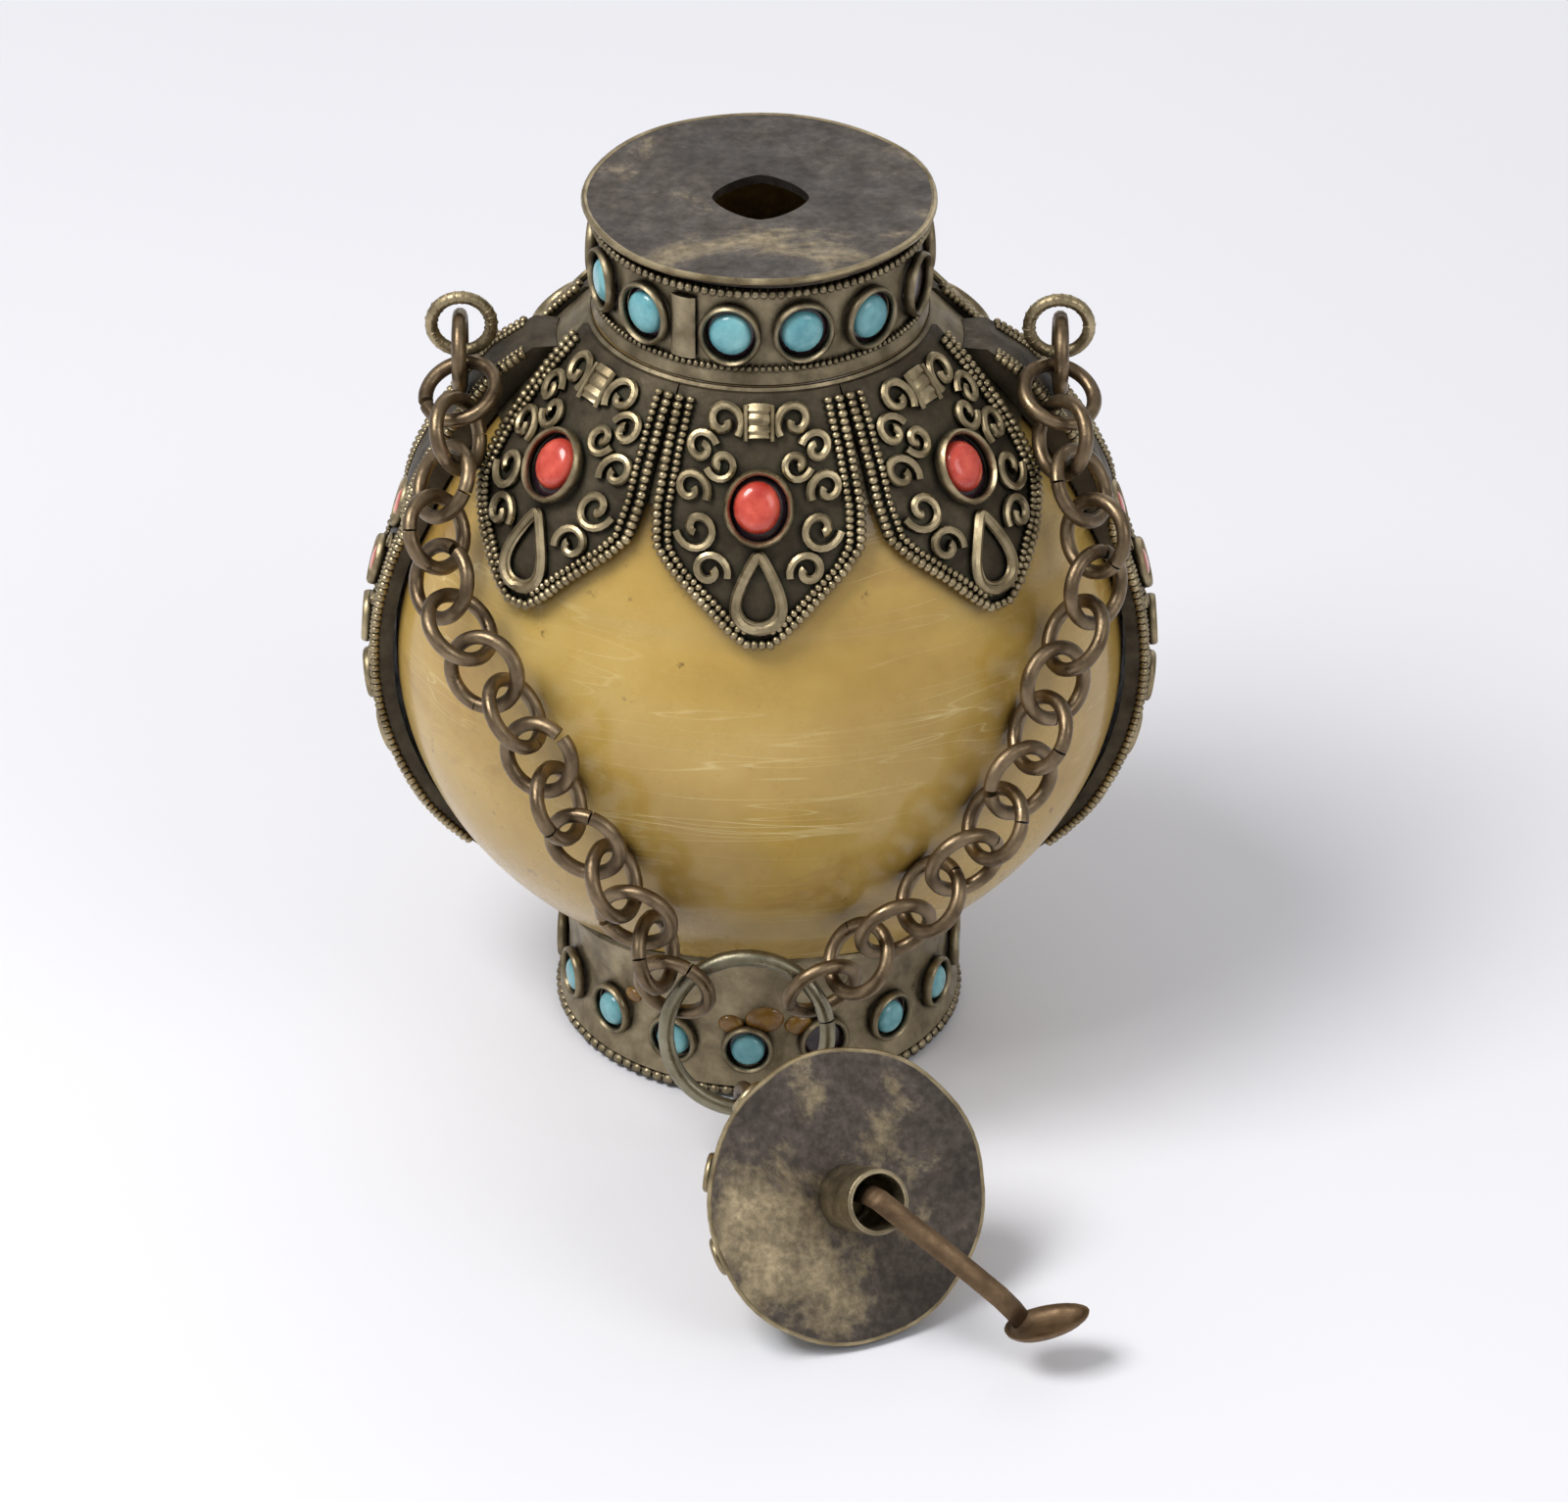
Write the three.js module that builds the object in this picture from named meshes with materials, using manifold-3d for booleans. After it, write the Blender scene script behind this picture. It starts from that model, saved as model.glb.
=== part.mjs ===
// A bone snuff bottle with metal mounts. Millimetres, +Z up, front towards -Y.
// The origin is the centre of the underside of the foot.
import * as THREE from "three";
import { mergeVertices } from "three/addons/utils/BufferGeometryUtils.js";
import Module from "manifold-3d";

const wasm = await Module();
wasm.setup();

// Body of bone: half sizes and height of its middle.
const BODY_HALF_WIDTH = 27.95;
const BODY_HALF_DEPTH = 23;
const BODY_HALF_HEIGHT = 26.4;
const BODY_MIDDLE_Z = 32.3;
const BONE_BOTTOM_Z = 8;
const BONE_WALL = 3;
const BONE_FLOOR = 6;
const SHOULDER_Z = 44;
const SHOULDER_POWER = 1.35;
// Neck and mouth.
const NECK_BASE_Z = 61.6;
const NECK_RADIUS = 12.5;
const NECK_WALL = 2;
const NECK_HEIGHT = 8;
const NECK_PLATE = 1.2;
const NECK_PLATE_LIP = 0.5;
const MOUTH_HALF_WIDTH = 3.65;
const MOUTH_HALF_DEPTH = 3.6;
const MOUTH_POWER = 1.5;
const NECK_STONES = 12;
// Foot.
const FOOT_RADIUS = 15.7;
const FOOT_WAIST = 0.6;
const FOOT_WALL = 1.6;
const FOOT_TOP_Z = 13;
const FOOT_PLATE = 1;
const FOOT_STONES = 16;
// Settings: small round cups with a stone.
const STONE_RADIUS = 1.45;
const BEZEL_WALL = 0.7;
const BEZEL_PROUD = 0.9;
// Metal sheet and wire.
const SEAT_GAP = 0.3;
const PETAL_SHEET = 0.7;
const BORDER_WIRE = 1;
const BEAD_WIRE = 1.3;
// Side bands.
const BAND_PROUD = 2.6;
const BAND_TOP_PROUD = 3.7;
const BAND_BOTTOM_Z = 14;
const BAND_HALF_ANGLE = 9;
const BAND_TOP_DROP = 2.4;
const BAND_STONES = 6;
// Petals: azimuth from the front, tip height.
const PETAL_TIP_Z = 43.5;
const SIDE_PETAL_ANGLE = 52;
const SIDE_PETAL_TIP_ANGLE = 43.5;
const PETAL_HALF_ANGLE = 24;
// Loops, chain and ring.
const LOOP_RADIUS = 2.25;
const LOOP_X = 22.3;
const LOOP_Z = 59.6;
const LINK_COUNT = 16;
const LINK_WIRE = 1.15;
const LINK_CLEARANCE = 0.36;
const CHAIN_STANDOFF = 3.4;
const PETAL_STANDOFF = 5.2;
const RING_RADIUS = 6.1;
const RING_WIRE = 1.3;
const RING_LEAN = 14;
const RING_CENTRE = new THREE.Vector3(-0.8, -23.4, 11.5);
const RING_HOLD_ANGLE = 58;
// Cap.
const CAP_CENTRE = new THREE.Vector3(6.8, -42.3, 10.15);
const CAP_AXIS = new THREE.Vector3(0.366, -0.787, 0.496).normalize();
const CAP_RADIUS = 11;
const CAP_PLATE = 1;
const CAP_DRUM_RADIUS = 9.6;
const CAP_DOME_HEIGHT = 9.3;
const FINIAL_RADIUS = 1.6;
const CAP_LOOP_RADIUS = 2.1;
const CAP_LOOP_WIRE = 1.2;
const TUBE_RADIUS = 2.45;
const TUBE_WALL = 0.8;
const TUBE_LENGTH = 5.8;
const SPOON_WIDTH = 2;
const SPOON_THICK = 0.6;
const SPOON_REACH = 13.9;
const BOWL_LENGTH = 3.4;

const CAP_LOOP_GAP = 0.15;
const CAP_LOOP_Z = -CAP_DOME_HEIGHT - FINIAL_RADIUS - CAP_LOOP_RADIUS - CAP_LOOP_WIRE / 2 - CAP_LOOP_GAP;

const AROUND = 36;
const rad = THREE.MathUtils.degToRad;
const FINE = 0.05;

function solid(geometry) {
  const plain = geometry.clone();
  for (const name of Object.keys(plain.attributes)) {
    if (name !== "position") plain.deleteAttribute(name);
  }
  const merged = mergeVertices(plain, 1e-5);
  const index = merged.index.array;
  return new wasm.Manifold(new wasm.Mesh({
    numProp: 3,
    vertProperties: new Float32Array(merged.attributes.position.array),
    triVerts: new Uint32Array(index),
  }));
}

function geometryOf(manifold) {
  const mesh = manifold.getMesh();
  const geometry = new THREE.BufferGeometry();
  geometry.setAttribute("position", new THREE.BufferAttribute(mesh.vertProperties, 3));
  geometry.setIndex(new THREE.BufferAttribute(mesh.triVerts, 1));
  return geometry;
}

function join(list) {
  return list.reduce((sum, next) => sum.add(next));
}

// Half width and half depth of the bone at a height.
function halfSize(z, side) {
  const full = side ? BODY_HALF_WIDTH : BODY_HALF_DEPTH;
  const egg = (h) => full * Math.sqrt(Math.max(0.02, 1 - ((h - BODY_MIDDLE_Z) / BODY_HALF_HEIGHT) ** 2));
  if (z <= SHOULDER_Z) return egg(z);
  const t = Math.min(1, (z - SHOULDER_Z) / (NECK_BASE_Z - SHOULDER_Z));
  return egg(SHOULDER_Z) + (NECK_RADIUS - egg(SHOULDER_Z)) * t ** SHOULDER_POWER;
}

// A point on the bone, moved outward. The angle is from the front towards +X.
function skin(angle, z, out) {
  return new THREE.Vector3(
    (halfSize(z, true) + out) * Math.sin(angle),
    -(halfSize(z, false) + out) * Math.cos(angle), z);
}

function skinNormal(angle, z) {
  const along = skin(angle + 0.01, z, 0).sub(skin(angle - 0.01, z, 0));
  const up = skin(angle, z + 0.1, 0).sub(skin(angle, z - 0.1, 0));
  return along.cross(up).normalize();
}

// A closed body from rings of points, each ring with as many points, bottom to top.
function loft(rings) {
  const n = rings[0].length;
  const points = rings.flat();
  const index = [];
  for (let r = 0; r + 1 < rings.length; r += 1) {
    for (let i = 0; i < n; i += 1) {
      const a = r * n + i;
      const b = r * n + ((i + 1) % n);
      index.push(a, b, b + n, a, b + n, a + n);
    }
  }
  const low = points.length;
  const top = low + 1;
  const middle = (ring) => ring.reduce((s, p) => s.add(p), new THREE.Vector3()).divideScalar(n);
  points.push(middle(rings[0]), middle(rings[rings.length - 1]));
  const last = (rings.length - 1) * n;
  for (let i = 0; i < n; i += 1) {
    const next = (i + 1) % n;
    index.push(low, next, i, top, last + i, last + next);
  }
  const geometry = new THREE.BufferGeometry();
  geometry.setAttribute("position", new THREE.Float32BufferAttribute(points.flatMap((p) => p.toArray()), 3));
  geometry.setIndex(index);
  return geometry;
}

function heights(from, to, count) {
  return Array.from({ length: count + 1 }, (_, i) => from + ((to - from) * i) / count);
}

function bodyForm(from, to, out) {
  return solid(loft(heights(from, to, 12).map((z) => Array.from(
    { length: AROUND }, (_, i) => skin((i / AROUND) * Math.PI * 2, z, out)))));
}

function block(x, y, z, cx, cy, cz) {
  return solid(new THREE.BoxGeometry(x, y, z).translate(cx, cy, cz));
}

function rod(radius, from, to, sides = 16) {
  return solid(new THREE.CylinderGeometry(radius, radius, to - from, sides)
    .rotateX(Math.PI / 2).translate(0, 0, (from + to) / 2));
}

function turned(profile, sides = AROUND) {
  const points = profile.map(([r, z]) => new THREE.Vector2(r, z));
  return solid(new THREE.LatheGeometry(points, sides).rotateX(Math.PI / 2));
}

// A ring of wire, its axis along Z.
function wireRing(radius, wire, around, sides) {
  return new THREE.TorusGeometry(radius, wire / 2, sides, around);
}

// Frame with Z along the axis and X along the tangent, placed at a point.
function frameAt(point, tangent, axis) {
  const x = tangent.clone().normalize();
  const z = axis.clone().addScaledVector(x, -axis.dot(x)).normalize();
  const y = z.clone().cross(x);
  return new THREE.Matrix4().makeBasis(x, y, z).setPosition(point);
}

// A cup with a stone on a surface, standing out along the normal.
function setting(point, normal, radius, proud, depth) {
  const side = Math.abs(normal.z) > 0.9 ? new THREE.Vector3(1, 0, 0) : new THREE.Vector3(0, 0, 1);
  const place = frameAt(point, side.clone().addScaledVector(normal, -side.dot(normal)), normal);
  const cup = new THREE.CylinderGeometry(radius + BEZEL_WALL, radius + BEZEL_WALL, proud + depth, 10)
    .rotateX(Math.PI / 2).translate(0, 0, (proud - depth) / 2).applyMatrix4(place);
  return solid(cup);
}

function boneHalf(front) {
  const shell = bodyForm(BONE_BOTTOM_Z, NECK_BASE_Z - FINE, 0)
    .subtract(bodyForm(BONE_BOTTOM_Z + BONE_FLOOR, NECK_BASE_Z - BONE_WALL, -BONE_WALL))
    .subtract(rod(MOUTH_HALF_WIDTH, NECK_BASE_Z - 2 * BONE_WALL, NECK_BASE_Z + 1, 24));
  const size = 4 * BODY_HALF_WIDTH;
  const sign = front ? 1 : -1;
  const away = block(size, size, size, 0, sign * (size / 2 - FINE), BODY_MIDDLE_Z);
  return shell.subtract(away);
}

function slab(leftOf, rightOf, from, to, rows, inner, outerOf, columns) {
  const rings = heights(from, to, rows).map((z) => {
    const out = outerOf(z);
    const angles = heights(leftOf(z), rightOf(z), columns);
    const front = angles.map((a) => skin(a, z, out));
    const back = angles.slice().reverse().map((a) => skin(a, z, inner));
    return front.concat(back);
  });
  return solid(loft(rings));
}

function bandProud(z) {
  const t = THREE.MathUtils.clamp((z - SHOULDER_Z) / (NECK_BASE_Z - SHOULDER_Z), 0, 1);
  return BAND_PROUD + (BAND_TOP_PROUD - BAND_PROUD) * Math.sqrt(t);
}

function sideBand(sign) {
  const middle = sign * Math.PI / 2;
  const half = rad(BAND_HALF_ANGLE);
  const strip = slab(() => middle - half, () => middle + half, BAND_BOTTOM_Z,
    NECK_BASE_Z - BAND_TOP_DROP, 14, SEAT_GAP, bandProud, 3);
  const cups = heights(BAND_BOTTOM_Z + 5, SHOULDER_Z, BAND_STONES - 1).map((z) => setting(
    skin(middle, z, bandProud(z)), skinNormal(middle, z), STONE_RADIUS, BEZEL_PROUD, 1));
  return join([strip, ...cups]);
}

// Half angle of a petal at a height: broad under the neck, coming to a rounded tip.
function petalHalf(z) {
  const t = (NECK_BASE_Z - z) / (NECK_BASE_Z - PETAL_TIP_Z);
  const leaf = Math.sqrt(Math.max(0.012, 1 - Math.max(0, t - 0.25) ** 1.6 / 0.75 ** 1.6));
  return rad(PETAL_HALF_ANGLE) * leaf;
}

function petalMiddle(z, neckAngle, tipAngle) {
  const t = (NECK_BASE_Z - z) / (NECK_BASE_Z - PETAL_TIP_Z);
  return rad(neckAngle + (tipAngle - neckAngle) * t);
}

function petal(neckAngle, tipAngle) {
  const middle = (z) => petalMiddle(z, neckAngle, tipAngle);
  const top = NECK_BASE_Z - 0.4;
  const sheet = slab((z) => middle(z) - petalHalf(z), (z) => middle(z) + petalHalf(z),
    PETAL_TIP_Z, top, 9, SEAT_GAP, () => SEAT_GAP + PETAL_SHEET, 5);
  const rim = [];
  for (const sign of [-1, 1]) {
    const line = heights(PETAL_TIP_Z + 0.2, top - 0.8, 6).map((z) => skin(
      middle(z) + sign * (petalHalf(z) - rad(1.6)), z, SEAT_GAP + PETAL_SHEET + 0.1));
    rim.push(wireAlong(line, BORDER_WIRE, 4));
  }
  const coralZ = NECK_BASE_Z - 7.4;
  const dropZ = PETAL_TIP_Z + 5.2;
  const cups = [
    setting(skin(middle(coralZ), coralZ, 1), skinNormal(middle(coralZ), coralZ), 1.9, BEZEL_PROUD, 0.5),
    setting(skin(middle(dropZ), dropZ, 1), skinNormal(middle(dropZ), dropZ), 2.1, 0.5, 0.5),
  ];
  return join([sheet, ...rim, ...cups]);
}

function wireAlong(points, wire, sides) {
  const curve = new THREE.CatmullRomCurve3(points);
  const round = new THREE.Shape();
  for (let i = 0; i < sides; i += 1) {
    const a = (i / sides) * Math.PI * 2;
    const step = i === 0 ? "moveTo" : "lineTo";
    round[step](Math.cos(a) * wire / 2, Math.sin(a) * wire / 2);
  }
  round.closePath();
  const steps = points.length + 3;
  return solid(new THREE.ExtrudeGeometry(round, { steps, bevelEnabled: false, extrudePath: curve }));
}

function neckWall() {
  const top = NECK_BASE_Z + NECK_HEIGHT;
  const inner = NECK_RADIUS - NECK_WALL;
  const wall = turned([[inner, NECK_BASE_Z + FINE], [NECK_RADIUS + 0.2, NECK_BASE_Z + FINE],
    [NECK_RADIUS - 0.4, NECK_BASE_Z + 1.4], [NECK_RADIUS - 0.4, top - 1.2],
    [NECK_RADIUS + 0.1, top - FINE], [inner, top - FINE], [inner, NECK_BASE_Z + FINE]]);
  const cups = Array.from({ length: NECK_STONES }, (_, i) => {
    const a = rad(-10) + (i / NECK_STONES) * Math.PI * 2;
    const out = new THREE.Vector3(Math.sin(a), -Math.cos(a), 0);
    const point = out.clone().multiplyScalar(NECK_RADIUS - 0.4).setZ(NECK_BASE_Z + NECK_HEIGHT / 2);
    return setting(point, out, STONE_RADIUS, BEZEL_PROUD, 1);
  });
  return join([wall, ...cups]);
}

function neckPlate() {
  const low = NECK_BASE_Z + NECK_HEIGHT;
  const outer = NECK_RADIUS + NECK_PLATE_LIP;
  const disc = new THREE.Shape();
  disc.absarc(0, 0, outer, 0, Math.PI * 2);
  const mouth = new THREE.Path();
  const points = Array.from({ length: 24 }, (_, i) => {
    const a = (i / 24) * Math.PI * 2;
    const reach = (Math.abs(Math.cos(a)) ** MOUTH_POWER + Math.abs(Math.sin(a)) ** MOUTH_POWER)
      ** (-1 / MOUTH_POWER);
    return new THREE.Vector2(MOUTH_HALF_WIDTH * Math.cos(a) * reach, MOUTH_HALF_DEPTH * Math.sin(a) * reach);
  });
  mouth.setFromPoints(points);
  disc.holes.push(mouth);
  return solid(new THREE.ExtrudeGeometry(disc, {
    depth: NECK_PLATE, bevelEnabled: false, curveSegments: AROUND,
  }).translate(0, 0, low));
}

function footWall() {
  const low = FOOT_PLATE + FINE;
  const inner = FOOT_RADIUS - FOOT_WALL;
  const wall = turned([[inner - 0.4, low], [FOOT_RADIUS, low], [FOOT_RADIUS - FOOT_WAIST, low + 2],
    [FOOT_RADIUS - FOOT_WAIST, FOOT_TOP_Z - 3], [FOOT_RADIUS, FOOT_TOP_Z],
    [inner - 0.4, FOOT_TOP_Z], [inner - 0.4, low]]);
  const cups = Array.from({ length: FOOT_STONES }, (_, i) => {
    const a = ((i + 0.5) / FOOT_STONES) * Math.PI * 2;
    const out = new THREE.Vector3(Math.sin(a), -Math.cos(a), 0);
    const point = out.clone().multiplyScalar(FOOT_RADIUS - FOOT_WAIST).setZ(FOOT_PLATE + 4);
    return setting(point, out, STONE_RADIUS, BEZEL_PROUD, 1);
  });
  return join([wall, ...cups]).subtract(bodyForm(BONE_BOTTOM_Z - 1, BODY_MIDDLE_Z, SEAT_GAP));
}

function footPlate() {
  const edge = FOOT_RADIUS + 0.3;
  return turned([[0, 0], [edge - 0.3, 0], [edge, 0.3], [edge, FOOT_PLATE - 0.3],
    [edge - 0.3, FOOT_PLATE], [0, FOOT_PLATE]]);
}

// Where the ring is held by a chain, and which way its wire runs there.
function ringPoint(angle) {
  const lean = rad(RING_LEAN);
  const up = new THREE.Vector3(0, Math.sin(lean), Math.cos(lean));
  const across = new THREE.Vector3(1, 0, 0);
  const out = across.clone().multiplyScalar(Math.sin(angle)).addScaledVector(up, Math.cos(angle));
  const along = across.clone().multiplyScalar(Math.cos(angle)).addScaledVector(up, -Math.sin(angle));
  return { point: RING_CENTRE.clone().addScaledVector(out, RING_RADIUS), along, out };
}

// The chain's route: azimuth and height over the body, from the loop to the ring.
const ROUTES = {
  left: [[-69, 54.6], [-62, 50.8], [-54, 46.9], [-42.3, 42.5], [-33.2, 37.1], [-27.1, 31.2], [-20, 25.1]],
  right: [[69.5, 54.6], [64, 50.4], [58, 46], [48, 40.1], [39.8, 33.8], [32.9, 28.2], [24.4, 22.5]],
};

function chainPlaces(side) {
  const sign = side === "left" ? -1 : 1;
  const start = new THREE.Vector3(sign * (LOOP_X + 0.1), -0.8, LOOP_Z - LOOP_RADIUS + 0.35);
  const hold = ringPoint(sign * rad(RING_HOLD_ANGLE));
  const over = ROUTES[side].map(([angle, z]) => skin(rad(angle), z, z > SHOULDER_Z - 3 ? PETAL_STANDOFF : CHAIN_STANDOFF));
  const finish = hold.point.clone().add(over[over.length - 1].clone().sub(hold.point).setLength(0.7));
  const curve = new THREE.CatmullRomCurve3([start, ...over, finish], false, "centripetal");
  curve.arcLengthDivisions = 800;
  const pitch = curve.getLength() / (LINK_COUNT - 1);
  const places = [];
  for (let i = 0; i < LINK_COUNT; i += 1) {
    const u = i / (LINK_COUNT - 1);
    const point = curve.getPointAt(u);
    const tangent = curve.getTangentAt(u);
    const angle = Math.atan2(point.x / halfSize(point.z, true), -point.y / halfSize(point.z, false));
    const normal = skinNormal(angle, point.z);
    const flat = normal.clone().addScaledVector(tangent, -normal.dot(tangent)).normalize();
    const blend = Math.max(0, 1 - i / 3);
    const up = new THREE.Vector3(0, 0, 1).addScaledVector(tangent, -tangent.z).normalize();
    const face = flat.multiplyScalar(1 - blend).addScaledVector(up, blend).normalize();
    const axis = i % 2 === 1 ? face : face.clone().cross(tangent);
    places.push({ point, matrix: frameAt(point, tangent, axis) });
  }
  return { places, pitch };
}

const left = chainPlaces("left");
const right = chainPlaces("right");
const LINK_PITCH = Math.max(left.pitch, right.pitch);
const LINK_RADIUS = (LINK_PITCH + LINK_WIRE + LINK_CLEARANCE) / 2;

function link(matrix) {
  return wireRing(LINK_RADIUS, LINK_WIRE, 12, 5).applyMatrix4(matrix);
}

function loop(sign) {
  const place = new THREE.Matrix4().makeRotationX(Math.PI / 2).setPosition(sign * LOOP_X, 0, LOOP_Z);
  return wireRing(LOOP_RADIUS, BEAD_WIRE, 16, 6).applyMatrix4(place);
}

function carryRing() {
  const lean = rad(RING_LEAN);
  const axis = new THREE.Vector3(0, -Math.cos(lean), Math.sin(lean));
  return wireRing(RING_RADIUS, RING_WIRE, 28, 6)
    .applyMatrix4(frameAt(RING_CENTRE, new THREE.Vector3(1, 0, 0), axis));
}

// Two short links from the foot of the ring to the loop of the cap.
function capLinks() {
  const hold = ringPoint(Math.PI);
  const loopCentre = capPoint(0, 0, CAP_LOOP_Z);
  const near = loopCentre.clone().addScaledVector(loopCentre.clone().sub(hold.point).normalize(), -CAP_LOOP_RADIUS);
  const way = near.clone().sub(hold.point);
  const length = way.length();
  way.normalize();
  const rest = LINK_RADIUS - LINK_WIRE / 2;
  const first = Math.min(rest - RING_WIRE / 2 - 0.1, length / 2);
  const last = rest - CAP_LOOP_WIRE / 2 - LINK_CLEARANCE;
  const a = hold.point.clone().addScaledVector(way, first);
  const b = near.clone().addScaledVector(way, -last);
  const up = new THREE.Vector3(0, 0, 1);
  return [
    link(frameAt(a, way, new THREE.Vector3(1, 0, 0))),
    link(frameAt(b, way, up)),
  ];
}

const CAP_UP = new THREE.Vector3(0, 0, 1).addScaledVector(CAP_AXIS, -CAP_AXIS.z).normalize();
const CAP_SIDE = CAP_UP.clone().cross(CAP_AXIS);
const CAP_PLACE = new THREE.Matrix4().makeBasis(CAP_SIDE, CAP_UP, CAP_AXIS).setPosition(CAP_CENTRE);

function capPoint(x, y, z) {
  return new THREE.Vector3(x, y, z).applyMatrix4(CAP_PLACE);
}

function capPlate() {
  return rod(CAP_RADIUS, -CAP_PLATE, 0, 36);
}

function capDome() {
  const top = -CAP_PLATE - FINE;
  const deep = -CAP_DOME_HEIGHT;
  return turned([[0, deep - FINIAL_RADIUS], [FINIAL_RADIUS * 0.7, deep - FINIAL_RADIUS + 0.4],
    [FINIAL_RADIUS * 0.9, deep - 0.4], [FINIAL_RADIUS * 0.6, deep + 0.5], [4.2, deep + 1.8],
    [6.4, deep + 3.6], [CAP_DRUM_RADIUS - 1.6, deep + 5.2], [CAP_DRUM_RADIUS, top], [0, top]], 36);
}

function capTube() {
  const inner = TUBE_RADIUS - TUBE_WALL;
  return turned([[inner, FINE], [TUBE_RADIUS, FINE], [TUBE_RADIUS, TUBE_LENGTH],
    [inner, TUBE_LENGTH], [inner, FINE]], 20);
}

function capLoop() {
  return solid(wireRing(CAP_LOOP_RADIUS, CAP_LOOP_WIRE, 16, 6).rotateY(Math.PI / 2).translate(0, 0, CAP_LOOP_Z));
}

function spoonBody() {
  const inside = TUBE_RADIUS - TUBE_WALL - 0.4;
  const over = TUBE_LENGTH + 0.5;
  const neck = SPOON_REACH - BOWL_LENGTH + 1;
  const side = new THREE.Shape();
  side.moveTo(-inside, 0.4);
  side.lineTo(-inside + SPOON_THICK, 0.4);
  side.lineTo(-inside + SPOON_THICK, over - 0.4);
  side.lineTo(0.2, over);
  side.lineTo(neck, over + 1.9);
  side.lineTo(neck, over + 1.9 + SPOON_THICK);
  side.lineTo(0, over + SPOON_THICK);
  side.lineTo(-inside, over);
  side.closePath();
  const strip = solid(new THREE.ExtrudeGeometry(side, { depth: SPOON_WIDTH, bevelEnabled: false })
    .translate(0, 0, -SPOON_WIDTH / 2).rotateX(Math.PI / 2));
  const bowl = new THREE.SphereGeometry(1, 16, 10).scale(BOWL_LENGTH, 2.3, 1.4)
    .translate(SPOON_REACH, 0, over + 2.9);
  const hollow = new THREE.SphereGeometry(1, 16, 10).scale(BOWL_LENGTH - 0.6, 1.8, 1.1)
    .translate(SPOON_REACH, 0, over + 3.3);
  const open = block(20, 20, 4, SPOON_REACH, 0, over + 2.9 + 2);
  return strip.add(solid(bowl)).subtract(solid(hollow)).subtract(open);
}

const METAL = { color: 0x9a8f76, roughness: 0.45, metalness: 0.9 };
const BONE = { color: 0xc9ab78, roughness: 0.5, metalness: 0 };
const DARK = { color: 0x4a4540, roughness: 0.55, metalness: 0.8 };

const bottle = new THREE.Group();

function piece(name, form, look, place = null) {
  const geometry = form instanceof THREE.BufferGeometry ? form : geometryOf(form);
  const mesh = new THREE.Mesh(geometry, new THREE.MeshStandardMaterial(look));
  mesh.name = name;
  if (place) place.add(mesh);
  else bottle.add(mesh);
}

piece("bone_front", boneHalf(true), BONE);
piece("bone_back", boneHalf(false), BONE);
piece("side_band_left", sideBand(-1), METAL);
piece("side_band_right", sideBand(1), METAL);
piece("petal_front", petal(0, 0), METAL);
piece("petal_back", petal(180, 180), METAL);
piece("petal_front_left", petal(-SIDE_PETAL_ANGLE, -SIDE_PETAL_TIP_ANGLE), METAL);
piece("petal_front_right", petal(SIDE_PETAL_ANGLE, SIDE_PETAL_TIP_ANGLE), METAL);
piece("petal_back_left", petal(SIDE_PETAL_ANGLE - 180, SIDE_PETAL_TIP_ANGLE - 180), METAL);
piece("petal_back_right", petal(180 - SIDE_PETAL_ANGLE, 180 - SIDE_PETAL_TIP_ANGLE), METAL);
piece("neck_wall", neckWall(), METAL);
piece("neck_plate", neckPlate(), DARK);
piece("foot_wall", footWall(), METAL);
piece("foot_plate", footPlate(), METAL);
piece("left_loop", loop(-1), METAL);
piece("right_loop", loop(1), METAL);
left.places.forEach((p, i) => piece(`left_link_${String(i + 1).padStart(2, "0")}`, link(p.matrix), METAL));
right.places.forEach((p, i) => piece(`right_link_${String(i + 1).padStart(2, "0")}`, link(p.matrix), METAL));
piece("carry_ring", carryRing(), METAL);
capLinks().forEach((form, i) => piece(`cap_link_${i + 1}`, form, METAL));

const cap = new THREE.Group();
cap.applyMatrix4(CAP_PLACE);
bottle.add(cap);
piece("cap_plate", capPlate(), DARK, cap);
piece("cap_dome", capDome(), METAL, cap);
piece("cap_tube", capTube(), METAL, cap);
piece("cap_loop", capLoop(), METAL, cap);
const spoonTurn = new THREE.Group();
spoonTurn.rotation.z = rad(-52);
cap.add(spoonTurn);
piece("spoon", spoonBody(), METAL, spoonTurn);

export default bottle;
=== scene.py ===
import math
import random

import bmesh
import bpy
import numpy as np
from mathutils import Matrix, Vector


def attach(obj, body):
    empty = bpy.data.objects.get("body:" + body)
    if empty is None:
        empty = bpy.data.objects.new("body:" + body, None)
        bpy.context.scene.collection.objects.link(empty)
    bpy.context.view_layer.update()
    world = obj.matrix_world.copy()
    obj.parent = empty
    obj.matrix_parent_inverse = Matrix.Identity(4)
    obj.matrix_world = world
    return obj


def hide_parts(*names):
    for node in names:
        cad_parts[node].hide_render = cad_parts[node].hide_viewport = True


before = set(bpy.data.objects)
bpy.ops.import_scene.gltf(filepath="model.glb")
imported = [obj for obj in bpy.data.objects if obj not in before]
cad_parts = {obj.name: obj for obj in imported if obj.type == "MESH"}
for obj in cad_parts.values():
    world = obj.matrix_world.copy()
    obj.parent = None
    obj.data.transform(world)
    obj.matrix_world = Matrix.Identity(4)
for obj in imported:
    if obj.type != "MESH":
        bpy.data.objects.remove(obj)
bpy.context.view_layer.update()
random.seed(7)
MM = 0.001
SHARP_ANGLE = 42

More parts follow.
